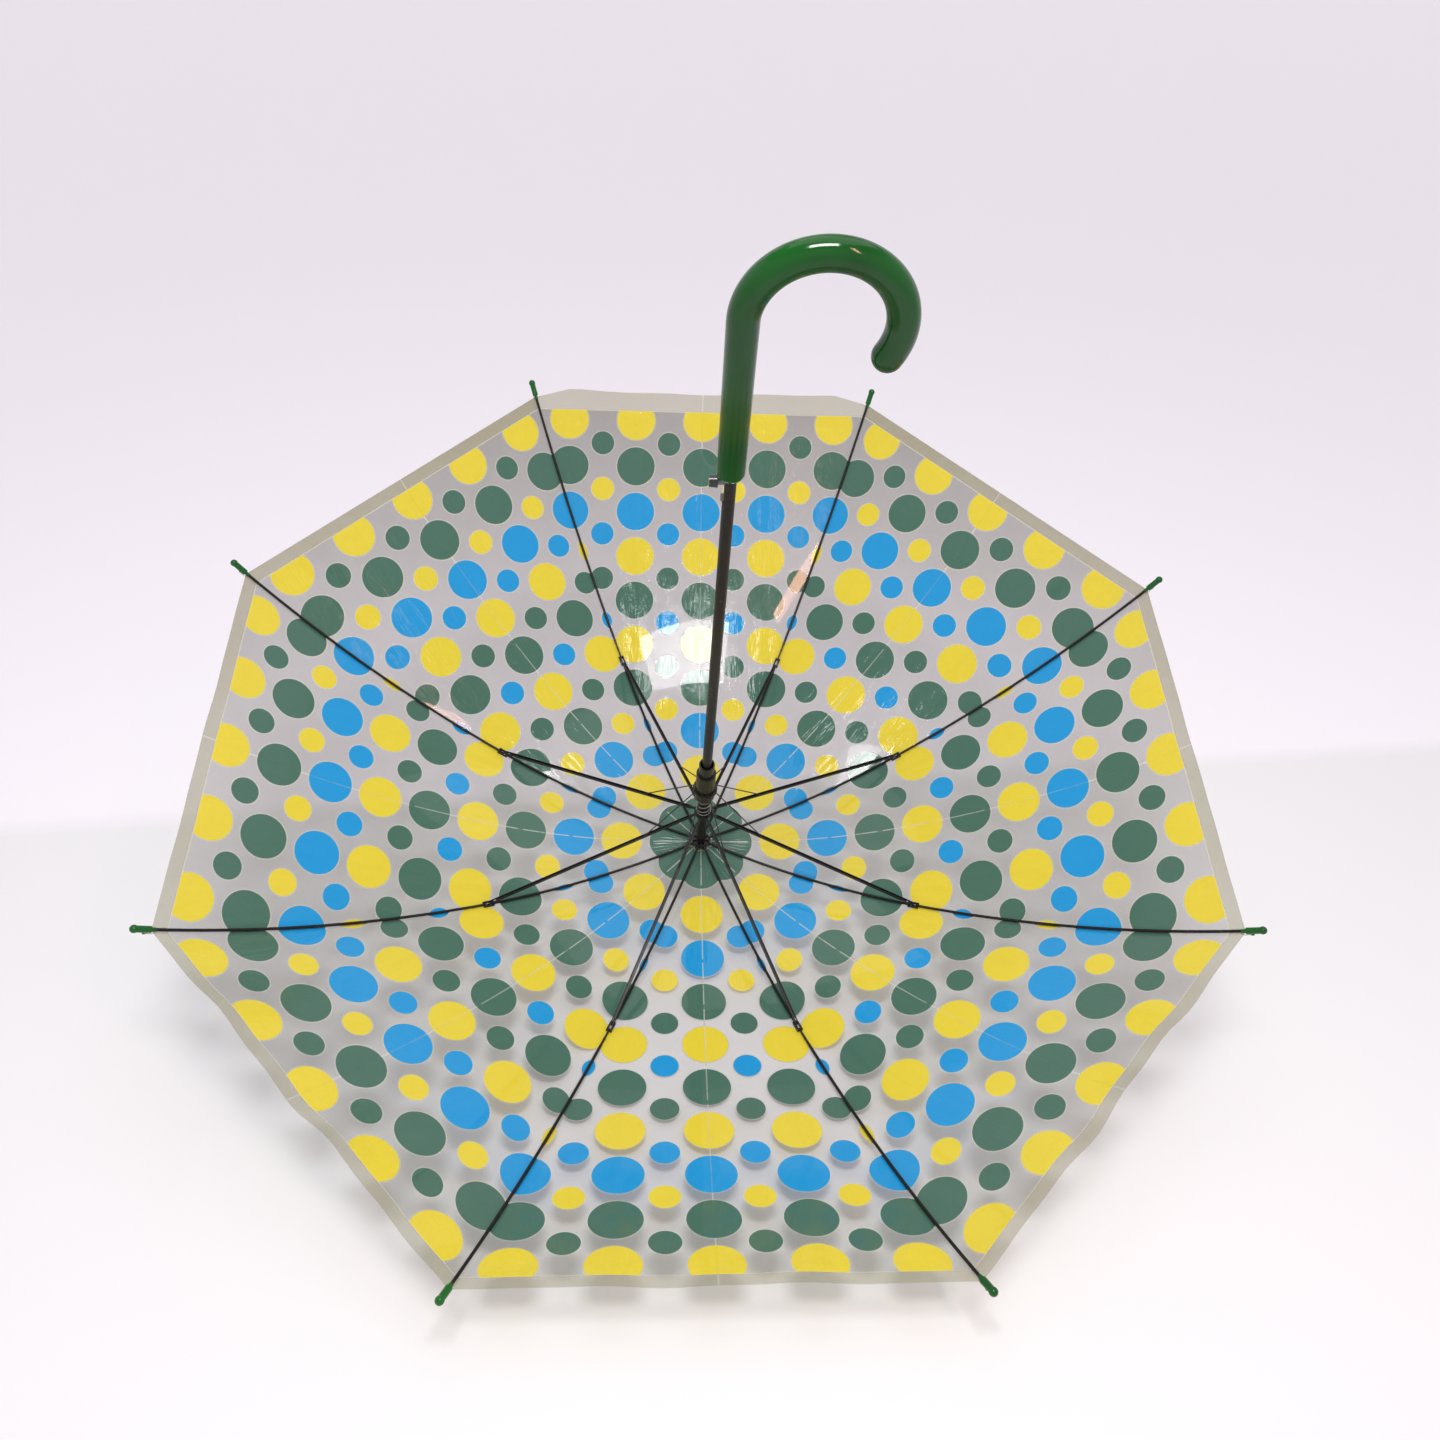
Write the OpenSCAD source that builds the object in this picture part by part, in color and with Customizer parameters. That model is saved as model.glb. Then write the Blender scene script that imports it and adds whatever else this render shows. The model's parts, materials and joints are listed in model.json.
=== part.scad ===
// Clear dome umbrella, open and lying on the end of its ferrule and the belly of its lowest panel.
// The frame is modelled about the shaft: the crown is at the origin and +Z runs towards the handle.
// lie_down() then leans it over, so that in the finished part the floor is Z = 0, the hook points
// along +X and the inside of the canopy faces up and to -Y.

/* [Canopy and frame] */
// number of ribs
rib_count = 8; // [8:1:8]
// length of a rib along its curve, from the shaft's axis to the end of its cap
rib_reach = 590; // [450:5:700]
// share of that length at which the stretcher is joined
joint_share = 0.42; // [0.35:0.01:0.5]
// rib's slope at the crown, in degrees from square to the shaft
crown_slope = -5.4; // [-15:0.1:15]
// rib's slope at the stretcher joint
joint_slope = 21.4; // [10:0.1:40]
// rib's slope at its tip
tip_slope = 46.3; // [30:0.1:70]
// rib wire's diameter
rib_d = 2.8; // [2:0.1:4]
// thickness of the film as a solid
film_t = 0.3; // [0.2:0.05:1]
// middle of the film from the middle of the rib wire
film_gap = 2.4; // [2:0.1:4]
// how far from the end of the cap the film's corner lies
corner_inset = 19.5; // [10:0.5:40]

/* [Folding] */
// stretcher's width
stretcher_w = 3.2; // [2.6:0.1:4]
// stretcher's depth
stretcher_h = 2.6; // [2:0.1:4]
// place of the wire link on the stretcher, from the runner's pivot
link_reach = 60; // [40:1:90]
// link wire's diameter
link_d = 1.2; // [0.8:0.1:2]

/* [Shaft and handle] */
// shaft tube's diameter
shaft_d = 9.6; // [8:0.1:14]
// where the handle begins, from the crown
handle_z = 557; // [450:5:700]
// where the handle's bend begins, from the crown
bend_z = 687; // [600:1:800]
// handle's diameter along the bend
handle_d = 21.5; // [16:0.5:30]
// radius of the bend, to the middle of the bar
hook_r = 49.5; // [35:0.5:70]
// how far the bend turns past a half circle
hook_past = 27; // [0:1:60]
// ferrule's length beyond the crown
ferrule_len = 70; // [60:1:120]

/* [Hidden] */
$fn = 64;
step = 360 / rib_count;

// radius of the circle of hinges on the crown and on the runner
pivot_r = 7;
wire_r = 0.6;
eye_r = 0.7;
shaft_r = shaft_d / 2;
snug = 0.02;
slide_gap = 0.1;

// two arcs make one rib: crown to joint, and joint to tip
inner_len = joint_share * rib_reach - pivot_r;
outer_len = (1 - joint_share) * rib_reach;
inner_turn = joint_slope - crown_slope;
outer_turn = tip_slope - joint_slope;
inner_bend_r = inner_len / (inner_turn * PI / 180);
outer_bend_r = outer_len / (outer_turn * PI / 180);
inner_centre = [pivot_r, 0] + inner_bend_r * [-sin(crown_slope), cos(crown_slope)];
joint_at = inner_centre + inner_bend_r * [sin(joint_slope), -cos(joint_slope)];
outer_centre = joint_at + outer_bend_r * [-sin(joint_slope), cos(joint_slope)];

// stretchers are as long as the line from crown pivot to joint, so the runner moves straight
arm = 2 * inner_bend_r * sin(inner_turn / 2);
arm_slope = (crown_slope + joint_slope) / 2;
runner_z = 2 * joint_at[1];

// links and spring cup
cup_ring_r = 11.2;
cup_rise = 48;
link_from = [pivot_r + link_reach * cos(arm_slope), runner_z - link_reach * sin(arm_slope)];
link_to = [cup_ring_r, runner_z + cup_rise];
link_len = norm(link_to - link_from);
link_slope = atan2(link_to[1] - link_from[1], link_to[0] - link_from[0]);

// crown and runner discs
disc_r = 9.5;
disc_top = 3.4;
disc_bottom = -1.9;
slot_w = 2.2;
tongue_w = 1.6;
sleeve_r = 6.4;
sleeve_top = 70;
cup_r = 10;
cup_bore = sleeve_r + slide_gap;
cup_low = 33.5;
cup_shoulder = 66;
cup_high = 78.5;
cup_end = 95.5;
cup_cavity_r = 8.7;
spring_wire_d = 1.2;
spring_r = 7.6;
spring_turns = 9;
spring_low = disc_top + 0.1 + spring_wire_d / 2;
spring_high = cup_shoulder - 0.1 - spring_wire_d / 2;

// push button: its middle along the shaft, and the catch's
button_z = 551;
catch_z = 535;

// tip caps
cap_r = 3.3;
cap_ball_r = 3.6;
cap_len = 18;

// film between two ribs: an arc over each part of the rib, seen along the hem
hem_s = rib_reach - corner_inset;
film_start = film_point(inner_point(pivot_r), crown_slope);
film_early = film_point(inner_point((pivot_r + joint_share * rib_reach) / 2), arm_slope);
film_seam = film_point(joint_at, joint_slope);
film_late_s = (joint_share * rib_reach + hem_s) / 2;
film_late = film_point(outer_point(film_late_s), outer_slope(film_late_s));
film_hem = film_point(outer_point(hem_s), outer_slope(hem_s));
film_inner = circle_through(film_start, film_early, film_seam);
film_outer = circle_through(film_seam, film_late, film_hem);

// lying on the floor: Z = 0 touches the round end of the ferrule and the outer film arc
ferrule_end_r = 4.2;
ferrule_end_z = -ferrule_len + ferrule_end_r;
belly_r = film_outer[1] + film_t / 2;
lean_a = film_outer[0][1] - ferrule_end_z;
lean_b = -film_outer[0][0];
lean = atan2(lean_b, lean_a) + acos((belly_r - ferrule_end_r) / norm([lean_a, lean_b]));
ball_at = outer_point(rib_reach - cap_ball_r);
lift = ferrule_end_r - ferrule_end_z * cos(lean);
shift = ball_at[1] * sin(lean);

// Which node to draw

// a point of the rib, as [radius, height], at a length along its curve
function inner_point(s) =
    let (a = crown_slope + (s - pivot_r) / inner_bend_r * 180 / PI)
    inner_centre + inner_bend_r * [sin(a), -cos(a)];

function outer_point(s) =
    let (a = joint_slope + (s - joint_share * rib_reach) / outer_bend_r * 180 / PI)
    outer_centre + outer_bend_r * [sin(a), -cos(a)];

function outer_slope(s) = joint_slope + (s - joint_share * rib_reach) / outer_bend_r * 180 / PI;

// the film's place over a point of the rib, halfway between two ribs
function film_point(p, slope) =
    [(p[0] + film_gap * sin(slope)) * cos(step / 2), p[1] - film_gap * cos(slope)];

// the circle through three points of a plane, as [centre, radius]
function circle_through(p, q, r) =
    let (
        d = 2 * (p[0] * (q[1] - r[1]) + q[0] * (r[1] - p[1]) + r[0] * (p[1] - q[1])),
        x = ((p * p) * (q[1] - r[1]) + (q * q) * (r[1] - p[1]) + (r * r) * (p[1] - q[1])) / d,
        y = ((p * p) * (r[0] - q[0]) + (q * q) * (p[0] - r[0]) + (r * r) * (q[0] - p[0])) / d
    )
    [[x, y], norm([x, y] - p)];

// leans the umbrella over on to the floor
module lie_down() {
    translate([0, shift, lift])
        rotate([lean, 0, 0])
            children();
}

// turns a piece drawn in the XZ plane to rib i
module at_rib(i) {
    rotate([0, 0, (i - 0.5) * step - 90])
        children();
}

// puts a piece drawn along +X at a point of the rib's plane, at a slope
module in_plane(at, slope) {
    translate([at[0], 0, at[1]])
        rotate([0, -slope, 0])
            children();
}

// a round bar bent to an arc in the XZ plane, from one slope to another
module arc_bar(centre, bend_r, from, to, d) {
    translate([centre[0], 0, centre[1]])
        rotate([90, 0, 0])
            rotate([0, 0, from - 90])
                rotate_extrude(angle = to - from, $fn = 128)
                    translate([bend_r, 0])
                        circle(d = d, $fn = 32);
}

// a pin or a hole across the rib's plane
module cross(r, w) {
    rotate([90, 0, 0])
        cylinder(h = w, r = r, center = true, $fn = 32);
}

// a flat tongue with a round end on its pivot, along +X
module tongue(len, w, r) {
    cross(r, w);
    translate([0, -w / 2, -r])
        cube([len, w, 2 * r]);
}

// the eight radial slots of a disc
module slots() {
    for (i = [1:rib_count])
        at_rib(i)
            translate([pivot_r - 1.7, -slot_w / 2, -50])
                cube([20, slot_w, 100]);
}

// a slotted disc that carries a ring of wire
module slotted_disc(bore) {
    difference() {
        translate([0, 0, disc_bottom])
            cylinder(h = disc_top - disc_bottom, r = disc_r);
        translate([0, 0, -10])
            cylinder(h = 20, r = bore);
        slots();
        rotate_extrude()
            translate([pivot_r, 0])
                circle(r = wire_r + 0.03, $fn = 24);
    }
}

module ring_wire() {
    rotate_extrude()
        translate([pivot_r, 0])
            circle(r = wire_r, $fn = 24);
}

module shaft() {
    color("#3b3230")
    difference() {
        translate([0, 0, -28])
            cylinder(h = 650, r = shaft_r);
        translate([0, 0, -29])
            cylinder(h = 652, r = shaft_r - 0.8);
        translate([-2 * shaft_r, -3, catch_z - 3.6])
            cube([2 * shaft_r, 6, button_z - catch_z + 7.2]);
    }
}

module handle() {
    color("#1b5a1f")
    difference() {
        union() {
            translate([0, 0, handle_z])
                cylinder(h = 3, r1 = handle_d / 2 - 2, r2 = handle_d / 2 - 0.6);
            translate([0, 0, handle_z + 3])
                cylinder(h = bend_z - handle_z - 3, r1 = handle_d / 2 - 0.6, r2 = handle_d / 2);
            translate([hook_r, 0, bend_z])
                rotate([90, 0, 0])
                    rotate([0, 0, -hook_past])
                        rotate_extrude(angle = 180 + hook_past, $fn = 128)
                            translate([hook_r, 0])
                                circle(d = handle_d - 2 * snug);
            translate([hook_r, 0, bend_z])
                rotate([0, hook_past, 0])
                    translate([hook_r, 0, 0])
                        sphere(d = handle_d - 4 * snug);
        }
        translate([0, 0, handle_z - 1])
            cylinder(h = 71, r = shaft_r + snug);
    }
}

module ferrule() {
    color("#2c6b30")
    difference() {
        union() {
            translate([0, 0, -5.2])
                cylinder(h = 1.6, r = 12);
            translate([0, 0, -14])
                cylinder(h = 9, r1 = 5.8, r2 = 7.5);
            translate([0, 0, -14])
                cylinder(h = 1, r = 6.2);
            translate([0, 0, -30])
                cylinder(h = 17, r = 5.8);
            translate([0, 0, ferrule_end_z])
                cylinder(h = 40, r = ferrule_end_r);
            translate([0, 0, ferrule_end_z])
                sphere(r = ferrule_end_r);
        }
        translate([0, 0, -28.5])
            cylinder(h = 30, r = shaft_r + snug);
    }
}

module crown_notch() {
    color("#2a2322")
    slotted_disc(shaft_r + snug);
}

module crown_wire() {
    color("#8d8d8d")
    ring_wire();
}

module runner() {
    color("#2a2322")
    translate([0, 0, runner_z])
    difference() {
        union() {
            slotted_disc(shaft_r + slide_gap);
            translate([0, 0, disc_top - 0.5])
                cylinder(h = sleeve_top - disc_top + 0.5, r = sleeve_r);
        }
        translate([0, 0, -10])
            cylinder(h = 100, r = shaft_r + slide_gap);
        translate([-sleeve_r - 1, -1.7, sleeve_top - 24])
            cube([sleeve_r + 1, 3.4, 25]);
    }
}

module runner_wire() {
    color("#8d8d8d")
    translate([0, 0, runner_z])
        ring_wire();
}

// cup over the spring; the links hook on to the ring of its slotted flange
module spring_cup() {
    color("#2a2322")
    translate([0, 0, runner_z])
    difference() {
        union() {
            translate([0, 0, cup_low])
                cylinder(h = cup_high - cup_low, r = cup_r);
            translate([0, 0, cup_rise - 1.6])
                cylinder(h = 3.2, r = cup_ring_r + 1.4);
            translate([0, 0, cup_high - 1])
                cylinder(h = cup_end - cup_high + 1, r = cup_bore + 1.3);
        }
        translate([0, 0, cup_low - 1])
            cylinder(h = cup_shoulder - cup_low + 1, r = cup_cavity_r);
        translate([0, 0, cup_shoulder - 1])
            cylinder(h = 40, r = cup_bore);
        for (i = [1:rib_count])
            at_rib(i)
                translate([cup_r + 0.3, -0.9, cup_rise - 5])
                    cube([5, 1.8, 10]);
    }
}

// one level turn of the spring, and the jog up to the next
module spring_turn(rise) {
    rotate_extrude(angle = 330)
        translate([spring_r, 0])
            circle(d = spring_wire_d, $fn = 16);
    jog_from = spring_r * [cos(330), sin(330), 0];
    jog_to = [spring_r, 0, rise];
    jog = jog_to - jog_from;
    for (p = [jog_from, jog_to])
        translate(p)
            sphere(d = spring_wire_d + 3 * snug, $fn = 16);
    translate(jog_from)
        rotate([0, acos(jog[2] / norm(jog)), atan2(jog[1], jog[0])])
            cylinder(h = norm(jog), d = spring_wire_d - 2 * snug, $fn = 16);
}

module spring() {
    rise = (spring_high - spring_low) / spring_turns;
    color("#9a9a98")
    translate([0, 0, runner_z + spring_low]) {
        for (k = [0:spring_turns - 1])
            translate([0, 0, k * rise])
                spring_turn(rise);
        translate([0, 0, spring_high - spring_low])
            rotate_extrude()
                translate([spring_r, 0])
                    circle(d = spring_wire_d, $fn = 16);
    }
}

// button, stem, the bar inside the shaft and the catch, in one piece
module button() {
    color("#1c1c1c")
    rotate([0, 0, 180]) {
        translate([8.9, 0, button_z])
            rotate([0, 90, 0])
                cylinder(h = 6.3, d1 = 9.4, d2 = 8.4);
        translate([2.2, 0, button_z])
            rotate([0, 90, 0])
                cylinder(h = 7.2, d = 5.2);
        translate([1.2, -1.4, catch_z - 2.6])
            cube([1.6, 2.8, button_z - catch_z + 5.2]);
        translate([2.6, -1.4, catch_z - 2.6])
            cube([3.6, 2.8, 5.2]);
    }
}

// bowed leaf spring that pushes the button out again
module button_spring() {
    leaf_t = 0.3;
    half = 11;
    bow = 4.2;
    leaf_r = (half * half + bow * bow) / (2 * bow);
    color("#9a9a98")
    translate([leaf_r - 1, 1.2, (catch_z + button_z) / 2])
        rotate([90, 0, 0])
            linear_extrude(height = 2.4)
                intersection() {
                    difference() {
                        circle(r = leaf_r, $fn = 128);
                        circle(r = leaf_r - leaf_t, $fn = 128);
                    }
                    translate([-leaf_r - 1, -half])
                        square([2 * bow, 2 * half]);
                }
}

// inner part of a rib: eye on the crown's wire, arc, and a fork at the stretcher joint
module rib() {
    fork_w = 5.6;
    color("#1d1b1b")
    difference() {
        union() {
            in_plane([pivot_r, 0], crown_slope)
                tongue(6.5, tongue_w, 1.5);
            arc_bar(inner_centre, inner_bend_r, crown_slope + 0.62, joint_slope - 0.9, rib_d);
            in_plane(joint_at, joint_slope) {
                for (side = [-1, 1])
                    translate([0, side * (fork_w / 2 - 0.45), 0])
                        rotate([0, 0, 180])
                            tongue(9, 0.9, 1.75);
                translate([-10, -fork_w / 2, -1.5])
                    cube([3, fork_w, 3]);
                cross(wire_r, fork_w - 0.2);
            }
        }
        in_plane([pivot_r, 0], 0)
            cross(eye_r, 5);
    }
}

// outer part of a rib: a thin tongue in the fork, then the arc to the cap
module rib_end() {
    color("#1d1b1b")
    difference() {
        union() {
            in_plane(joint_at, joint_slope)
                tongue(13, 1.5, 1.4);
            arc_bar(outer_centre, outer_bend_r, joint_slope + 0.87, outer_slope(rib_reach - 6), rib_d);
        }
        in_plane(joint_at, 0)
            cross(eye_r, 5);
    }
}

// cap pressed on the rib's end, with the small eye that the film's corner is tied to
module tip_cap() {
    start = rib_reach - cap_len;
    at = outer_point(start);
    color("#14701f")
    difference() {
        union() {
            in_plane(at, outer_slope(start + cap_len / 2))
                rotate([0, 90, 0])
                    cylinder(h = cap_len - cap_ball_r, r = cap_r - 0.3);
            in_plane(ball_at, 0)
                sphere(r = cap_ball_r);
            in_plane(at, outer_slope(start)) {
                translate([3.5, 0, -4.2])
                    cross(2.2, 2);
                rotate([0, 90, 0])
                    translate([0, 0, -4])
                        cylinder(h = 6, r = rib_d / 2 + 0.5);
            }
        }
        arc_bar(
            outer_centre, outer_bend_r,
            outer_slope(start - 8), outer_slope(rib_reach - 5.9), rib_d + 2 * snug
        );
        in_plane(at, outer_slope(start))
            translate([3.5, 0, -4.6])
                cross(1.0, 5);
    }
}

// channel that opens towards the handle, with a tongue on the runner's wire and ears at the joint
module stretcher() {
    wall = 0.6;
    color("#1d1b1b")
    in_plane([pivot_r, runner_z], -arm_slope)
    difference() {
        union() {
            tongue(9, tongue_w, 1.3);
            difference() {
                translate([6.5, -stretcher_w / 2, -stretcher_h / 2])
                    cube([arm - 6.5, stretcher_w, stretcher_h]);
                translate([9, -stretcher_w / 2 + wall, -stretcher_h / 2 + wall])
                    cube([arm, stretcher_w - 2 * wall, stretcher_h]);
                translate([arm - 12, -stretcher_w / 2 + wall, -stretcher_h])
                    cube([20, stretcher_w - 2 * wall, 2 * stretcher_h]);
            }
            for (side = [-1, 1])
                translate([arm, side * (stretcher_w - wall) / 2, 0])
                    cross(stretcher_h / 2, wall);
        }
        cross(eye_r, 5);
        translate([arm, 0, 0])
            cross(eye_r, 5);
        translate([link_reach, 0, 0])
            cross(link_d / 2 + 0.05, 5);
    }
}

// wire link: cross pin in the stretcher, straight wire, and an eye on the cup's flange
module link() {
    color("#4a4644") {
        in_plane(link_from, link_slope) {
            cross(link_d / 2, stretcher_w);
            rotate([0, 90, 0])
                cylinder(h = link_len, d = link_d, $fn = 24);
        }
        in_plane(link_to, 0)
            sphere(d = link_d, $fn = 24);
    }
}

// one film panel between two ribs: straight across, curved along, and cut square at the hem
module canopy() {
    half_w = 230;
    far = 600;
    color("#d8e0d0", 0.5)
    difference() {
        intersection() {
            translate([0, half_w, 0])
                rotate([90, 0, 0])
                    linear_extrude(height = 2 * half_w) {
                        arc_band(film_inner, film_start, film_seam, 1.0);
                        arc_band(film_outer, film_seam, film_hem, 0);
                    }
            translate([0.6, 0, -20])
                linear_extrude(height = 400)
                    polygon([[0, 0], [far, -far * tan(step / 2)], [far, far * tan(step / 2)]]);
        }
        cylinder(h = 40, r = shaft_r + 0.9, center = true);
    }
}

// band of a circle between two of its points, with a lead-in angle before the first
module arc_band(arc, from, to, lead) {
    centre = arc[0];
    a = atan2(from[1] - centre[1], from[0] - centre[0]) - lead;
    b = atan2(to[1] - centre[1], to[0] - centre[0]);
    far = 2 * arc[1];
    translate(centre)
        intersection() {
            difference() {
                circle(r = arc[1] + film_t / 2, $fn = 256);
                circle(r = arc[1] - film_t / 2, $fn = 256);
            }
            polygon([[0, 0], far * [cos(a), sin(a)], far * [cos(b), sin(b)]]);
        }
}

lie_down() {
    shaft();
    handle();
    ferrule();
    crown_notch();
    crown_wire();
    runner();
    runner_wire();
    spring_cup();
    spring();
    button();
    button_spring();
    for (i = [1:rib_count]) {
        at_rib(i) rib();
        at_rib(i) rib_end();
        at_rib(i) tip_cap();
        at_rib(i) stretcher();
        at_rib(i) link();
        rotate([0, 0, i * step - 90]) canopy();
    }
}
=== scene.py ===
import json
import math

import bpy
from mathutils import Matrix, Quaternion, Vector


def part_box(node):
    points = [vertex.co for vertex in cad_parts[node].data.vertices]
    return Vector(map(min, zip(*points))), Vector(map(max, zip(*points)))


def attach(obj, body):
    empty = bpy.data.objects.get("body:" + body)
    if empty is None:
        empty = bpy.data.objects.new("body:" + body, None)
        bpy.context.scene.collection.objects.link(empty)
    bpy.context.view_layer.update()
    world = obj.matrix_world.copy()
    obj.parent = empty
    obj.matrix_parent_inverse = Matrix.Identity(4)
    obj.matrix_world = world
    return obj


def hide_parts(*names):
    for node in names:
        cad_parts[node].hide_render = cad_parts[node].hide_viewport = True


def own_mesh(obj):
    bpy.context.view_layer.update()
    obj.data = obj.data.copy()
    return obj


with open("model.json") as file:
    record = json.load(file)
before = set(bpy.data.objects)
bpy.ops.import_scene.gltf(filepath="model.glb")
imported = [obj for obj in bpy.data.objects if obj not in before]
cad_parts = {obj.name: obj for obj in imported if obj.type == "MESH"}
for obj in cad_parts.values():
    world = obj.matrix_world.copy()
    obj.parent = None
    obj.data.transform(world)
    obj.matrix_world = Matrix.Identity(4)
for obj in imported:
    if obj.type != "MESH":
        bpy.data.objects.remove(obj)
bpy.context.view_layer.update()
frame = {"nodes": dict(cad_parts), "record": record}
JOINTS = {joint["name"]: joint for joint in frame["record"]["behaviour"]["joints"]}

# Rib and film, in metres. Lengths along a rib count from the shaft's axis
RIBS = 8
PIVOT = 0.007
REACH = 0.590
JOINT = 0.42 * REACH
CROWN_SLOPE = math.radians(-5.4)
JOINT_SLOPE = math.radians(21.4)
TIP_SLOPE = math.radians(46.3)
FILM_GAP = 0.0024
FILM_START = 0.0062
HEM = REACH - 0.0195
HEM_WIDTH = 0.013
HEM_FOLD = 0.0008

# Printed dots, in metres on a panel: across from its middle, and up from its hem
DOT_COLUMN = 0.0784
DOT_ROW = 0.0532
DOT_FIRST = 0.024
LARGE_DOT = 0.02235
SMALL_DOT = 0.01335
YELLOW = (0.74, 0.60, 0.030)
GREEN = (0.048, 0.140, 0.098)
BLUE = (0.0, 0.29, 0.64)
LARGE_ROWS = [YELLOW, GREEN, BLUE, YELLOW, GREEN, YELLOW, GREEN, BLUE, YELLOW, GREEN]
SMALL_ROWS = [GREEN, YELLOW, BLUE, GREEN, BLUE, GREEN, YELLOW, BLUE, GREEN]

# The clear film, its warmer patches and cloudy parts, its hem, and its creased lines and worn ink
FILM_TINT = (0.078, 0.069, 0.028)
FILM_PATCH = (0.070, 0.053, 0.022)
FILM_CLOUD = (0.21, 0.20, 0.13)
HEM_BEIGE = (0.31, 0.28, 0.11)
LINE_PALE = (0.58, 0.57, 0.45)
WORN_PALE = (0.62, 0.62, 0.55)

# The lowest panel lies on the floor, the panels beside it hang slack, and the top hem has come unfolded
RESTING_PANEL = 8
UNFOLDED_PANEL = 4
FLAP = 0.011
PANEL_TENSION = 0.004
SLACK = {7: 2.0, 8: 0.8, 1: 2.0, 2: 0.8, 6: 0.8, 3: 0.4, 4: 0.2, 5: 0.4}

# Points across a half panel, and the rows of its hem
HALF_COLUMNS = 15
QUARTERS = (0.25, 0.5, 0.75, 1)


def hinge_name(rib):
    """The joint that folds a rib. The first rib leads and the others follow it."""
    return "canopy_fold" if rib == 1 else f"rib_fold_{rib}"


HINGES = [Vector(JOINTS[hinge_name(rib)]["pos_m"]) for rib in range(1, RIBS + 1)]
CROWN = sum(HINGES, Vector()) / RIBS
SHAFT = Vector(JOINTS["cup_slide"]["axis"]).normalized()
OUTWARD = [(hinge - CROWN).normalized() for hinge in HINGES]
HOOK = Vector((1, 0, 0))
HOOK_NORMAL = SHAFT.cross(HOOK)


def along_shaft(height, sideways=Vector()):
    """A point of the shaft's axis, or beside it."""
    return CROWN + SHAFT * height + sideways


# ---------------------------------------------------------------- finishes


class Shade:
    """One value in a finish. Arithmetic on it adds the finish's maths nodes."""

    def __init__(self, finish, socket):
        self.finish = finish
        self.socket = socket

    def maths(self, operation, *others, clamp=False):
        """One maths node on this value and the others."""
        settings = {"operation": operation, "use_clamp": clamp}
        return self.finish.node("ShaderNodeMath", settings, {0: self, **dict(enumerate(others, 1))})

    def __add__(self, other):
        return self.maths("ADD", other)

    def __sub__(self, other):
        return self.maths("SUBTRACT", other)

    def __mul__(self, other):
        return self.maths("MULTIPLY", other)

    def __truediv__(self, other):
        return self.maths("DIVIDE", other)

    def __pow__(self, other):
        return self.maths("POWER", other)

    def __radd__(self, other):
        return self + other

    def __rmul__(self, other):
        return self * other

    def __rsub__(self, other):
        return self * -1 + other

    def __abs__(self):
        return self.maths("ABSOLUTE")

    def __mod__(self, other):
        return self.maths("FLOORED_MODULO", other)

    def floor(self):
        """The whole number below."""
        return self.maths("FLOOR")

    def clamped(self):
        """Held between 0 and 1."""
        return self.maths("ADD", 0.0, clamp=True)

    def over(self, edge, soft):
        """1 above the edge and 0 below it, changing over a width of soft."""
        return ((self - edge) / soft + 0.5).clamped()

    def under(self, edge, soft):
        """1 below the edge and 0 above it, changing over a width of soft."""
        return ((edge - self) / soft + 0.5).clamped()


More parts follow.
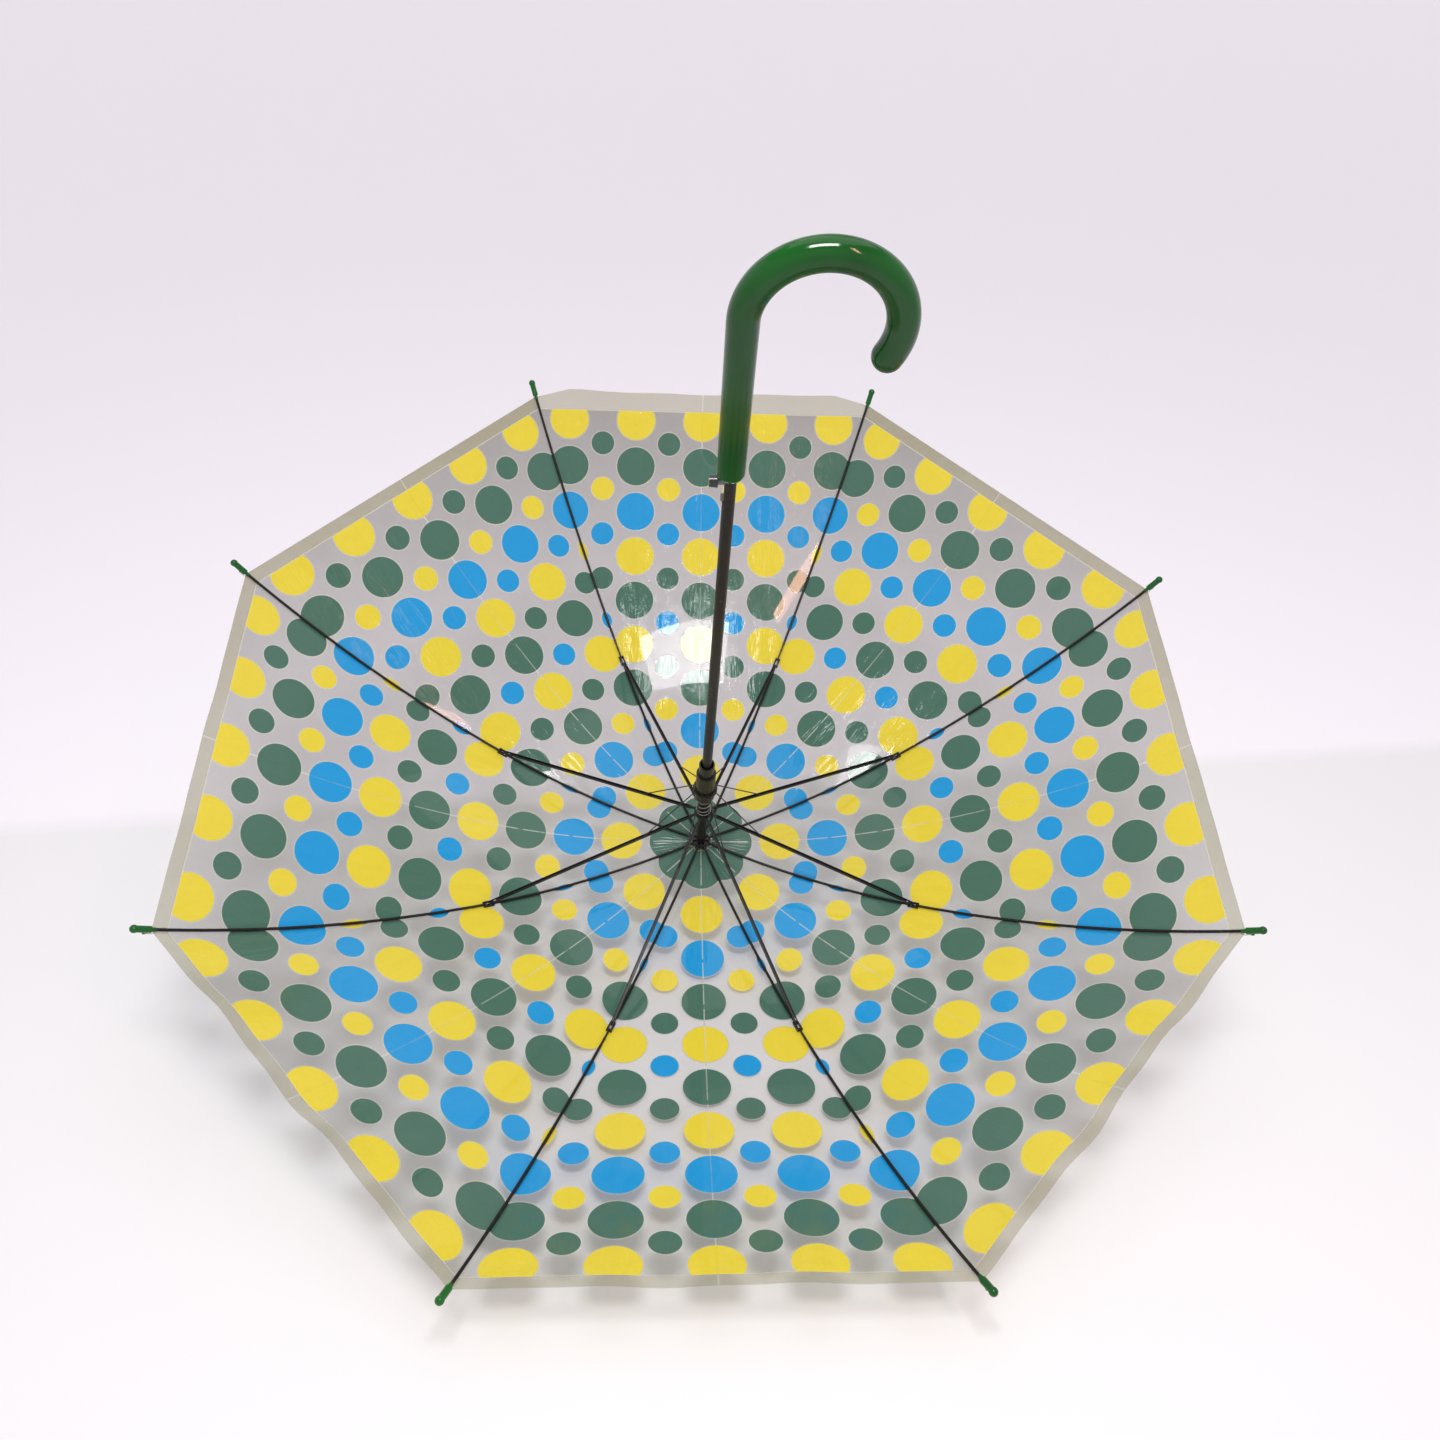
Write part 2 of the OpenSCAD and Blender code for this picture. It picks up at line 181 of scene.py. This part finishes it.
class Finish:
    """A material under construction, with one method that adds any node."""

    def __init__(self, name):
        self.material = bpy.data.materials.new(name)
        self.material.use_nodes = True
        self.tree = self.material.node_tree
        self.surface = self.tree.nodes["Principled BSDF"]

    def node(self, kind, settings, sockets, output=0):
        """Adds a node, its settings first and then its inputs, and gives one output."""
        node = self.tree.nodes.new(kind)
        for key, value in settings.items():
            if key == "stops":
                set_stops(node.color_ramp, value)
            else:
                setattr(node, key, value)
        for key, value in sockets.items():
            self.feed(node.inputs[key], value)
        return Shade(self, node.outputs[output])

    def feed(self, socket, value):
        """Links a Shade to an input, or sets the input to a number or a colour."""
        if isinstance(value, Shade):
            self.tree.links.new(value.socket, socket)
        elif isinstance(value, tuple) and len(value) == 3 and socket.type == "RGBA":
            socket.default_value = (*value, 1)
        else:
            socket.default_value = value

    def set(self, **sockets):
        """Sets inputs of the surface shader, each to a number, a colour or a Shade."""
        for key, value in sockets.items():
            self.feed(self.surface.inputs[key.replace("_", " ")], value)

    def place(self):
        """The point in the object's own space."""
        return self.node("ShaderNodeTexCoord", {}, {}, "Object")

    def print_place(self, layer):
        """The point in one of the flat layouts of a film piece."""
        return self.node("ShaderNodeUVMap", {"uv_map": layer}, {})

    def parts(self, vector):
        """The three components of a vector."""
        split = self.node("ShaderNodeSeparateXYZ", {}, {0: vector})
        return [Shade(self, out) for out in split.socket.node.outputs]

    def along(self, vector, direction, origin=Vector()):
        """How far a point lies along a direction from an origin."""
        settings = {"operation": "DOT_PRODUCT"}
        dot = self.node("ShaderNodeVectorMath", settings, {0: vector, 1: tuple(direction)}, "Value")
        return dot - origin.dot(direction)

    def noise(self, vector, scale, detail=3.0, roughness=0.55, stretch=(1, 1, 1)):
        """Smooth noise with values around one half."""
        settings = {"operation": "MULTIPLY"}
        spread = self.node("ShaderNodeVectorMath", settings, {0: vector, 1: stretch})
        sockets = {"Vector": spread, "Scale": scale, "Detail": detail, "Roughness": roughness}
        return self.node("ShaderNodeTexNoise", {}, sockets)

    def mix(self, share, first, second):
        """Mixes two colours."""
        settings = {"data_type": "RGBA"}
        return self.node("ShaderNodeMix", settings, {0: share, 6: first, 7: second}, 2)

    def ramp(self, share, stops, hard=False):
        """Runs through colours at the given positions, in hard steps or smoothly."""
        settings = {"stops": (stops, "CONSTANT" if hard else "LINEAR")}
        return self.node("ShaderNodeValToRGB", settings, {0: share})

    def bump(self, height, distance, strength=1.0):
        """Raises the surface by a height map, distance in metres."""
        sockets = {"Height": height, "Distance": distance, "Strength": strength}
        self.set(Normal=self.node("ShaderNodeBump", {}, sockets))


def set_stops(ramp, value):
    """Fills a colour ramp with stops of position and colour."""
    stops, interpolation = value
    ramp.interpolation = interpolation
    while len(ramp.elements) > 1:
        ramp.elements.remove(ramp.elements[-1])
    for number, (position, colour) in enumerate(stops):
        stop = ramp.elements[0] if number == 0 else ramp.elements.new(position)
        stop.position = position
        stop.color = (*colour, 1)


def row_stops(colours):
    """Ramp stops that give each row of dots its own colour."""
    return [((row + 0.02) / len(colours), colour) for row, colour in enumerate(colours)]


def dot_layer(finish, across, up, radius, half_step, colours):
    """One lattice of dots: how much print, how much halo, and its colour."""
    column = (across + DOT_COLUMN * (0.5 - half_step)) % DOT_COLUMN - DOT_COLUMN / 2
    raised = up - DOT_FIRST + DOT_ROW * (0.5 - half_step)
    row = raised % DOT_ROW - DOT_ROW / 2
    distance = (column * column + row * row) ** 0.5
    inside = (raised / DOT_ROW).over(0, 0.001) * (raised / DOT_ROW).under(len(colours), 0.001)
    dot = distance.under(radius, 0.0005) * inside
    halo = distance.under(radius + 0.0012, 0.0008) * inside
    colour = finish.ramp((raised / DOT_ROW).floor() / len(colours) + 0.05, row_stops(colours), True)
    return dot, halo, colour


def print_layers(finish, across, up):
    """All the printed dots of the film: how much print, how much halo, and the ink's colour."""
    large, large_halo, large_colour = dot_layer(finish, across, up, LARGE_DOT, 0, LARGE_ROWS)
    small, small_halo, small_colour = dot_layer(finish, across, up, SMALL_DOT, 0.5, SMALL_ROWS)
    printed = up.over(HEM_WIDTH, 0.0008)
    dots = (large + small).clamped() * printed
    halos = (large_halo + small_halo).clamped() * printed
    return dots, halos, finish.mix(large, small_colour, large_colour)


def film_finish():
    """Clear film with printed dots, a welded hem, seams at the ribs and a crease down each panel."""
    finish = Finish("clear_film")
    place = finish.print_place("print")
    across, up, _ = finish.parts(place)
    from_rib, _, _ = finish.parts(finish.print_place("seam"))
    _, _, height = finish.parts(finish.place())
    dots, halos, ink = print_layers(finish, across, up)

    cloudy = finish.noise(place, 14, 4)
    crinkle = finish.noise(place, 60, 5, 0.6)
    fine = finish.noise(place, 420, 2, 0.5)
    folds = finish.noise(place, 26, 3, 0.5, (2.2, 0.5, 1))
    patches = finish.noise(place, 5, 2)

    crease = across.under(0.0006, 0.0006)
    broken = finish.noise(place, 90, 3).over(0.42, 0.1) * up.over(0.20, 0.25)
    seam = from_rib.under(0.0035, 0.0006)
    weld = abs(up - HEM_WIDTH).under(0.0007, 0.0007)
    hem = up.under(HEM_WIDTH, 0.0006)
    marked = (crease + weld * 0.8 + seam * 0.3 + halos * 0.6).clamped()
    lines = crease * broken * 0.60 + crease * 0.08 + weld * 0.25 + seam * 0.12 + halos * 0.14

    tint = finish.mix(patches.over(0.5, 0.3), FILM_TINT, FILM_PATCH)
    clear = finish.mix(cloudy * 0.30, tint, FILM_CLOUD)
    banded = finish.mix(hem * 0.9, clear, HEM_BEIGE)
    pale = finish.mix(marked, banded, LINE_PALE)
    worn_ink = finish.mix(cloudy * 0.03 + crease * broken * 0.6, ink, WORN_PALE)

    # The film is more opaque where it is seen edge on, and it is painted darker and more opaque the
    # higher it stands, as painted shade
    facing = finish.node("ShaderNodeLayerWeight", {}, {"Blend": 0.35}, "Facing")
    veil_and_painted_shade = 0.16 + height * 0.95 + cloudy * 0.12 + facing * 0.12
    alpha = (veil_and_painted_shade * (1 - hem * 0.18) + lines).clamped()
    finish.set(
        Base_Color=finish.mix(dots, pale, worn_ink),
        Roughness=0.045 + crinkle * 0.05 + dots * 0.05,
        Alpha=alpha * (1 - dots) + dots * (0.98 + cloudy * 0.015),
        Specular_IOR_Level=0.14,
        Coat_Weight=0.46,
        Coat_Roughness=0.02,
    )
    beside_hem = up.under(0.045, 0.06)
    wavy = folds * 4.5 + crinkle * (0.8 + 1.8 * beside_hem) + fine * 0.1
    finish.bump(wavy + crease * 0.5 + weld * 0.6 + dots * 0.05, 0.0012, 0.5)
    finish.material.use_transparent_shadow = True
    return finish.material


def moulded_finish(name, colour, gloss, parting=False):
    """Glossy moulded plastic: slow swirls of colour, fine grain, handling marks and a parting line."""
    finish = Finish(name)
    place = finish.place()
    swirl = finish.noise(place, 18, 3, 0.5, (1, 1, 0.4))
    grain = finish.noise(place, 900, 2)
    marks = finish.noise(place, 130, 4, 0.7, (1, 1, 0.15)).over(0.62, 0.08)
    darker = tuple(channel * 0.72 for channel in colour)
    lighter = tuple(channel * 1.25 for channel in colour)
    relief = grain * 0.3 + swirl * 0.5
    if parting:
        line = abs(finish.along(place, HOOK_NORMAL, CROWN)).under(0.00018, 0.0002)
        relief = relief + line * 1.4
    finish.set(
        Base_Color=finish.ramp(swirl, [(0.3, darker), (0.7, lighter)]),
        Roughness=gloss + swirl * 0.06 + marks * 0.12,
        Specular_IOR_Level=0.32,
        Coat_Weight=0.15 - marks * 0.10,
        Coat_Roughness=0.05,
    )
    finish.bump(relief, 0.0002, 0.35)
    return finish.material


def lacquer_finish(name, colour, bare, gloss):
    """Lacquered steel: rubbed streaks along the shaft, small chips and a faint orange-peel."""
    finish = Finish(name)
    place = finish.place()
    lengthways = finish.along(place, SHAFT, CROWN)
    peel = finish.noise(place, 700, 2)
    rubbed = finish.noise(place, 55, 4, 0.6)
    chips = finish.noise(place, 260, 3, 0.6).over(0.70, 0.03)
    bands = finish.noise(lengthways, 40, 3).over(0.56, 0.2)
    worn = (chips + rubbed.over(0.60, 0.15) * bands * 0.25).clamped()
    finish.set(
        Base_Color=finish.mix(worn, colour, bare),
        Metallic=worn * 0.8,
        Roughness=gloss + rubbed * 0.16,
        Specular_IOR_Level=0.3,
        Coat_Weight=0.1 - worn * 0.1,
        Coat_Roughness=0.12,
    )
    finish.bump(peel * 0.4 - chips * 0.6, 0.0001, 0.4)
    return finish.material


def steel_finish(name, colour, gloss):
    """Drawn steel wire: fine lines and a few dull spots."""
    finish = Finish(name)
    place = finish.place()
    drawn = finish.noise(place, 600, 3, 0.6, (1, 1, 0.2))
    dull = finish.noise(place, 90, 4).over(0.55, 0.2)
    tarnished = tuple(channel * 0.55 for channel in colour)
    finish.set(
        Base_Color=finish.mix(dull * 0.6, colour, tarnished),
        Metallic=1.0,
        Roughness=gloss + drawn * 0.12 + dull * 0.15,
    )
    finish.bump(drawn, 0.00008, 0.4)
    return finish.material


def button_finish():
    """Black button on a grey stem."""
    finish = Finish("button_black_and_grey")
    place = finish.place()
    outward = finish.along(place, HOOK * -1, CROWN)
    cap = outward.over(0.0089, 0.0001)
    grain = finish.noise(place, 1100, 2)
    mottle = finish.noise(place, 160, 3)
    rim = abs(outward - 0.0151).under(0.0004, 0.0004)
    finish.set(
        Base_Color=finish.mix(cap - rim * 0.12, (0.20, 0.20, 0.19), (0.012, 0.012, 0.012)),
        Roughness=0.26 + mottle * 0.14,
        Coat_Weight=cap * 0.4,
    )
    finish.bump(grain, 0.0001, 0.4)
    return finish.material


def thread_finish():
    """Twisted clear thread of the corner ties."""
    finish = Finish("tie_thread")
    place = finish.place()
    twist = finish.noise(place, 1500, 2)
    shade = finish.noise(place, 200, 2)
    finish.set(
        Base_Color=finish.ramp(shade, [(0.3, (0.55, 0.56, 0.52)), (0.7, (0.80, 0.80, 0.77))]),
        Roughness=0.35 + twist * 0.2,
    )
    finish.bump(twist, 0.0002, 0.6)
    return finish.material


# ---------------------------------------------------------------- pieces


def new_piece(name, points, faces, material, body):
    """A smooth-shaded mesh piece that rides on a body."""
    mesh = bpy.data.meshes.new(name)
    mesh.from_pydata([tuple(point) for point in points], [], faces)
    mesh.shade_smooth()
    mesh.materials.append(material)
    piece = bpy.data.objects.new(name, mesh)
    bpy.context.scene.collection.objects.link(piece)
    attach(piece, body)
    return piece


def grid_faces(rows, columns):
    """Four-sided faces of a grid of points, row after row."""
    return [
        (row * columns + column, row * columns + column + 1,
         (row + 1) * columns + column + 1, (row + 1) * columns + column)
        for row in range(rows - 1)
        for column in range(columns - 1)
    ]


def tube(path, radius, sides=10, closed=False):
    """Points and faces of a round tube along a path."""
    points, faces = [], []
    count = len(path)
    normal = None
    for number, point in enumerate(path):
        before = path[number - 1] if number or closed else point
        after = path[(number + 1) % count] if number < count - 1 or closed else point
        heading = (after - before).normalized()
        normal = heading.orthogonal() if normal is None else normal - heading * normal.dot(heading)
        normal.normalize()
        binormal = heading.cross(normal)
        for side in range(sides):
            turn = math.tau * side / sides
            points.append(point + (normal * math.cos(turn) + binormal * math.sin(turn)) * radius)
    rings = count if closed else count - 1
    for ring in range(rings):
        for side in range(sides):
            here, there = ring * sides, (ring + 1) % count * sides
            beside = (side + 1) % sides
            faces.append((here + side, here + beside, there + beside, there + side))
    if not closed:
        faces.append(tuple(range(sides))[::-1])
        faces.append(tuple((count - 1) * sides + side for side in range(sides)))
    return points, faces


def rib_place(length):
    """Radius, height and slope of the rib's middle at a length along it."""
    inner_bend = (JOINT - PIVOT) / (JOINT_SLOPE - CROWN_SLOPE)
    outer_bend = (REACH - JOINT) / (TIP_SLOPE - JOINT_SLOPE)
    slope = CROWN_SLOPE + (min(length, JOINT) - PIVOT) / inner_bend
    radius = PIVOT + inner_bend * (math.sin(slope) - math.sin(CROWN_SLOPE))
    height = inner_bend * (math.cos(CROWN_SLOPE) - math.cos(slope))
    if length > JOINT:
        slope = JOINT_SLOPE + (length - JOINT) / outer_bend
        radius += outer_bend * (math.sin(slope) - math.sin(JOINT_SLOPE))
        height += outer_bend * (math.cos(JOINT_SLOPE) - math.cos(slope))
    return radius, height, slope


def over_rib(rib, length):
    """The film's point over a rib."""
    radius, height, slope = rib_place(length)
    radius += FILM_GAP * math.sin(slope)
    height -= FILM_GAP * math.cos(slope)
    return along_shaft(height, OUTWARD[(rib - 1) % RIBS] * radius)


def film_length_to_hem(length):
    """Distance to the hem along the middle of a panel."""
    steps = 24
    lengths = [length + (HEM - length) * number / steps for number in range(steps + 1)]
    points = [(over_rib(1, s) + over_rib(2, s)) / 2 for s in lengths]
    return sum((b - a).length for a, b in zip(points, points[1:]))


def film_place(panel, share, length, inset=0.0):
    """A point of a panel: share runs from its own rib to the next, inset lies inside the film."""
    here, there = over_rib(panel, length), over_rib(panel + 1, length)
    slope = rib_place(length)[2]
    middle = (OUTWARD[(panel - 1) % RIBS] + OUTWARD[panel % RIBS]).normalized()
    inward = SHAFT * math.cos(slope) - middle * math.sin(slope)
    run = length / HEM
    tension = 0.0 if panel == RESTING_PANEL else PANEL_TENSION
    dip = tension * 4 * share * (1 - share) * math.sin(math.pi * run)
    slack = SLACK[panel] * math.sin(math.pi * share) * math.exp((length - HEM) / 0.045)
    ripple = 0.0016 * math.sin(math.tau * (2.4 * share + 0.13 * panel + 1.7 * run))
    ripple += 0.0009 * math.sin(math.tau * (5.3 * share - 0.29 * panel))
    pucker = 0.0005 * math.sin(math.tau * (9 * share + 0.4 * panel)) * math.exp(-length / 0.05)
    bulge = dip + slack * ripple + pucker * math.sin(math.pi * share)
    return here.lerp(there, share) + inward * (bulge + inset)


def film_normal(panel, share, length):
    """The film's normal, from points close by, so that neighbouring halves meet without a line."""
    small = 0.002
    before, after = max(share - small, 0), min(share + small, 1)
    across = film_place(panel, after, length) - film_place(panel, before, length)
    down = film_place(panel, share, length + small) - film_place(panel, share, length - small)
    return across.cross(down).normalized()


def flap_reach(length, share):
    """The loose flap of the top hem tapers to its corners and has an uneven edge."""
    if length <= HEM:
        return length
    taper = min(1, 9 * share, 9 * (1 - share))
    uneven = 0.82 + 0.14 * math.sin(7.3 * share + 0.6) + 0.06 * math.sin(23 * share)
    return HEM + (length - HEM) * taper * uneven


def half_width(length):
    """Distance across the film from a rib to the middle of a panel."""
    return (over_rib(1, length) - over_rib(2, length)).length / 2


def hem_rows(panel):
    """Lengths and insets of the rows past the hem: folded back, or hanging as a loose flap."""
    if panel == UNFOLDED_PANEL:
        return [(HEM + FLAP * share, 0.0006 * share) for share in QUARTERS]
    rows = [(HEM + 0.0003, HEM_FOLD / 2), (HEM, HEM_FOLD)]
    rows += [(HEM - HEM_WIDTH * share, HEM_FOLD - 0.0004 * share) for share in QUARTERS]
    return rows


def print_on(piece, layer, values):
    """Gives a piece a flat layout in metres, from one value for each point."""
    flat = piece.data.uv_layers.new(name=layer)
    for loop in piece.data.loops:
        flat.data[loop.index].uv = values[loop.vertex_index]


def film_half(rib, side, part, lengths, material):
    """Half a panel beside one rib, over its inner or its outer part, with its hem."""
    panel = rib if side > 0 else (rib - 2) % RIBS + 1
    outer = part == "outer"
    unfolded = outer and panel == UNFOLDED_PANEL
    rows = [(length, 0.0) for length in lengths] + (hem_rows(panel) if outer else [])
    points, normals, prints, seams = [], [], [], []
    for number, (length, inset) in enumerate(rows):
        width = half_width(length)
        up = film_length_to_hem(min(length, HEM))
        folded_back = number >= len(lengths) and not unfolded
        for column in range(HALF_COLUMNS):
            near = column / (HALF_COLUMNS - 1) / 2
            share = near if side > 0 else 1 - near
            reach = flap_reach(length, share) if unfolded else length
            points.append(film_place(panel, share, reach, inset))
            normals.append(film_normal(panel, share, min(length, HEM)) * (-1 if folded_back else 1))
            prints.append((width * (1 - 2 * near), up))
            seams.append((width * 2 * near, length))
    faces = grid_faces(len(rows), HALF_COLUMNS)
    if side < 0:
        faces = [face[::-1] for face in faces]
    holder = f"rib_end_{rib}" if outer else f"rib_{rib}"
    name = f"film_{part}_{rib}_{'after' if side > 0 else 'before'}"
    piece = new_piece(name, points, faces, material, holder)
    print_on(piece, "print", prints)
    print_on(piece, "seam", seams)
    piece.data.normals_split_custom_set_from_vertices(normals)
    fold_film(piece, rib, side, lengths)
    declare_sheet(lengths, FLAP if unfolded else HEM_WIDTH if outer else 0)
    if side > 0:
        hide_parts(f"canopy_{panel}")


def fold_film(piece, rib, side, lengths):
    """Works out the direction across the half panel, square to its rib, and gives the piece a mesh of
    its own.
    """
    start, end = over_rib(rib, lengths[0]), over_rib(rib, lengths[-1])
    run = (end - start).normalized()
    other = OUTWARD[(rib - 1 + side) % RIBS]
    across = (other - OUTWARD[rib - 1]).normalized()
    gather = (across - run * across.dot(run)).normalized()
    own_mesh(piece)


def declare_sheet(lengths, hem):
    """Works out the area of a half panel as one flat sheet, narrow at the crown and wide at the hem,
    and keeps nothing.
    """
    narrow, wide = half_width(lengths[0]), half_width(lengths[-1])
    long = lengths[-1] - lengths[0] + hem
    (wide + narrow) / 2 * long


def canopy(material):
    """Every panel as four sheets, two beside each of its ribs."""
    inner = [FILM_START + (JOINT - FILM_START) * number / 12 for number in range(13)]
    outer = [JOINT + (HEM - JOINT) * number / 22 for number in range(23)]
    for rib in range(1, RIBS + 1):
        for side in (-1, 1):
            film_half(rib, side, "inner", inner, material)
            film_half(rib, side, "outer", outer, material)


def corner_ties(material):
    """A loop of thread from the film's corner through the eye of each cap."""
    eye_length, eye_drop = REACH - 0.0145, 0.0046
    thread, loop_width, twist, overlap, steps = 0.00032, 0.0019, 0.0004, 0.0012, 28
    turns = [math.tau * number / steps for number in range(steps)]
    for rib in range(1, RIBS + 1):
        radius, height, slope = rib_place(eye_length)
        outward = OUTWARD[rib - 1]
        down = outward * math.cos(slope) + SHAFT * math.sin(slope)
        inward = SHAFT * math.cos(slope) - outward * math.sin(slope)
        eye = along_shaft(height, outward * radius) - inward * eye_drop
        corner = over_rib(rib, HEM - 0.003)
        middle = (eye + corner) / 2
        half = (eye - corner).length / 2 + overlap
        sideways = down.cross(inward)
        loop = [
            middle + down * half * math.cos(turn) + sideways * loop_width * math.sin(turn)
            + inward * twist * math.sin(2 * turn)
            for turn in turns
        ]
        points, faces = tube(loop, thread, 8, closed=True)
        new_piece(f"corner_tie_{rib}", points, faces, material, f"rib_end_{rib}")


def open_spring(material):
    """The open spring between the runner and its cup, with a flat turn at each end."""
    start, length, turns, steps = 0.0041, 0.0612, 9, 24
    coil, wire = 0.0076, 0.0006
    base = Vector(JOINTS["runner_ride"]["pos_m"])
    foot = along_shaft((base - CROWN).dot(SHAFT) + start)
    path = []
    for number in range(turns * steps + 1):
        turn = math.tau * number / steps
        open_part = min(max((number - steps) / ((turns - 2) * steps), 0), 1)
        rise = 0.02 * number / (turns * steps) + 0.98 * open_part
        around = HOOK * math.cos(turn) + HOOK_NORMAL * math.sin(turn)
        path.append(foot + SHAFT * length * rise + around * coil)
    points, faces = tube(path, wire, 10)
    piece = new_piece("open_spring", points, faces, material, "runner")
    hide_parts("spring")
    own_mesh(piece)


def button_leaf(material):
    """The bowed leaf spring behind the button."""
    low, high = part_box("button_spring")
    height = ((low + high) / 2 - CROWN).dot(SHAFT)
    half, bow, wide, thick = 0.011, 0.0042, 0.0024, 0.0003
    set_back, foot, steps = 0.001, 0.0032, 24
    points, faces = [], []
    for number in range(steps + 1):
        rise = 2 * number / steps - 1
        for deep, across in ((0, -1), (0, 1), (thick, 1), (thick, -1)):
            sideways = HOOK * (bow * rise * rise + deep - set_back) + HOOK_NORMAL * across * wide / 2
            points.append(along_shaft(height + half * rise, sideways))
    for ring in range(steps):
        for corner in range(4):
            here, beside = ring * 4 + corner, ring * 4 + (corner + 1) % 4
            faces.append((here, beside, beside + 4, here + 4))
    faces.append((3, 2, 1, 0))
    faces.append(tuple(steps * 4 + corner for corner in range(4)))
    piece = new_piece("button_leaf", points, faces, material, "frame")
    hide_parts("button_spring")
    tuple(along_shaft(height, HOOK * foot))
    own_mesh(piece)


def paint_frame():
    """Finishes for the pieces that keep their CAD shape."""
    handle = moulded_finish("handle_green", (0.003, 0.066, 0.006), 0.08, parting=True)
    ferrule = moulded_finish("ferrule_green", (0.004, 0.075, 0.007), 0.14)
    tips = moulded_finish("tip_green", (0.003, 0.105, 0.010), 0.16)
    black = moulded_finish("runner_black", (0.009, 0.008, 0.008), 0.34)
    shaft = lacquer_finish("shaft_brown_black", (0.016, 0.011, 0.009), (0.10, 0.09, 0.08), 0.30)
    ribs = lacquer_finish("rib_black", (0.005, 0.004, 0.004), (0.08, 0.08, 0.08), 0.38)
    links = steel_finish("link_dark_steel", (0.10, 0.095, 0.09), 0.32)
    wire = steel_finish("notch_wire", (0.50, 0.50, 0.49), 0.25)
    finishes = {
        "shaft": shaft, "handle": handle, "ferrule": ferrule, "crown_notch": black,
        "runner": black, "spring_cup": black, "crown_wire": wire, "runner_wire": wire,
        "button": button_finish(),
    }
    for rib in range(1, RIBS + 1):
        finishes[f"rib_{rib}"] = ribs
        finishes[f"rib_end_{rib}"] = ribs
        finishes[f"stretcher_{rib}"] = ribs
        finishes[f"link_{rib}"] = links
        finishes[f"tip_cap_{rib}"] = tips
    for node, material in finishes.items():
        mesh = frame["nodes"][node].data
        mesh.materials.clear()
        mesh.materials.append(material)


# ---------------------------------------------------------------- studio


def studio_camera():
    """In front of the canopy, a little above the handle, looking down into the hollow."""
    place, aim = Vector((-0.0503, -0.9241, 0.8677)), Vector((0.0093, 0.0, 0.2793))
    roll = math.radians(2.62)
    data = bpy.data.cameras.new("studio_camera")
    data.lens = 29.08
    data.sensor_width = 36
    camera = bpy.data.objects.new("studio_camera", data)
    bpy.context.scene.collection.objects.link(camera)
    camera.location = place
    camera.rotation_mode = "QUATERNION"
    camera.rotation_quaternion = (aim - place).to_track_quat("-Z", "Y") @ Quaternion((0, 0, 1), roll)
    bpy.context.scene.camera = camera


def sweep():
    """Round pale floor that curves up into a wall all round."""
    flat, curve, top, sides = 2.8, 1.2, 3.6, 64
    bends = [math.radians(9 * number) for number in range(1, 11)]
    profile = [(0.001, 0.0), (flat, 0.0)]
    profile += [(flat + curve * math.sin(bend), curve - curve * math.cos(bend)) for bend in bends]
    profile.append((flat + curve, top))
    turns = [math.tau * number / sides for number in range(sides + 1)]
    points = [(out * math.cos(turn), out * math.sin(turn), z) for out, z in profile for turn in turns]
    mesh = bpy.data.meshes.new("sweep")
    mesh.from_pydata(points, [], grid_faces(len(profile), sides + 1))
    mesh.shade_smooth()
    mesh.materials.append(paper_finish())
    backdrop = bpy.data.objects.new("sweep", mesh)
    bpy.context.scene.collection.objects.link(backdrop)


def paper_finish():
    """Pale glowing studio paper. Beyond a soft line across the floor it is a little greyer, painted
    shade that stands in for a wall, and its glow is stronger.
    """
    finish = Finish("sweep_paper")
    place = finish.place()
    beyond = finish.along(place, Vector((-0.111, 1, 0)).normalized(), Vector((0.118, 0.29, 0)))
    tone = finish.noise(place, 3, 3)
    # Beyond the line the paper is painted greyer, as painted shade of a wall, and glows more
    far = beyond.over(0, 0.035)
    paper = finish.mix(far, (0.71, 0.70, 0.715), (0.66, 0.63, 0.665))
    shade = finish.mix(tone * 0.05, paper, (0.65, 0.64, 0.66))
    glow = finish.mix(far, (0.50, 0.495, 0.505), (0.86, 0.82, 0.87))
    finish.set(Base_Color=shade, Emission_Color=glow, Emission_Strength=0.4, Roughness=0.6)
    finish.bump(finish.noise(place, 300, 2), 0.0003, 0.2)
    return finish.material


def lamp(name, place, size, power, colour=(1, 1, 1)):
    """A rectangular lamp that faces the crown of the canopy."""
    data = bpy.data.lights.new(name, "AREA")
    data.shape = "RECTANGLE"
    data.size, data.size_y = size
    data.energy = power
    data.color = colour
    light = bpy.data.objects.new(name, data)
    bpy.context.scene.collection.objects.link(light)
    light.location = place
    light.rotation_mode = "QUATERNION"
    light.rotation_quaternion = (CROWN - Vector(place)).to_track_quat("-Z", "Y")


def studio_light():
    """Soft light from above, and two small lamps whose reflections show on the film."""
    lamp("top_softbox", (0.2, 0.5, 3.0), (3.0, 2.4), 22)
    lamp("key_lamp", (-0.03, -0.70, 1.67), (0.52, 0.27), 15.0)
    lamp("warm_lamp", (0.53, -0.95, 1.38), (0.05, 0.38), 2.2, (1.0, 0.50, 0.34))
    world = bpy.data.worlds.new("studio_air")
    world.use_nodes = True
    air = world.node_tree.nodes["Background"].inputs
    air["Color"].default_value = (0.93, 0.93, 0.96, 1)
    air["Strength"].default_value = 0.36
    bpy.context.scene.world = world
    bpy.context.scene.view_settings.view_transform = "Standard"


studio_camera()
canopy(film_finish())
corner_ties(thread_finish())
spring_steel = steel_finish("spring_bright", (0.46, 0.46, 0.45), 0.28)
open_spring(spring_steel)
button_leaf(spring_steel)
paint_frame()
sweep()
studio_light()
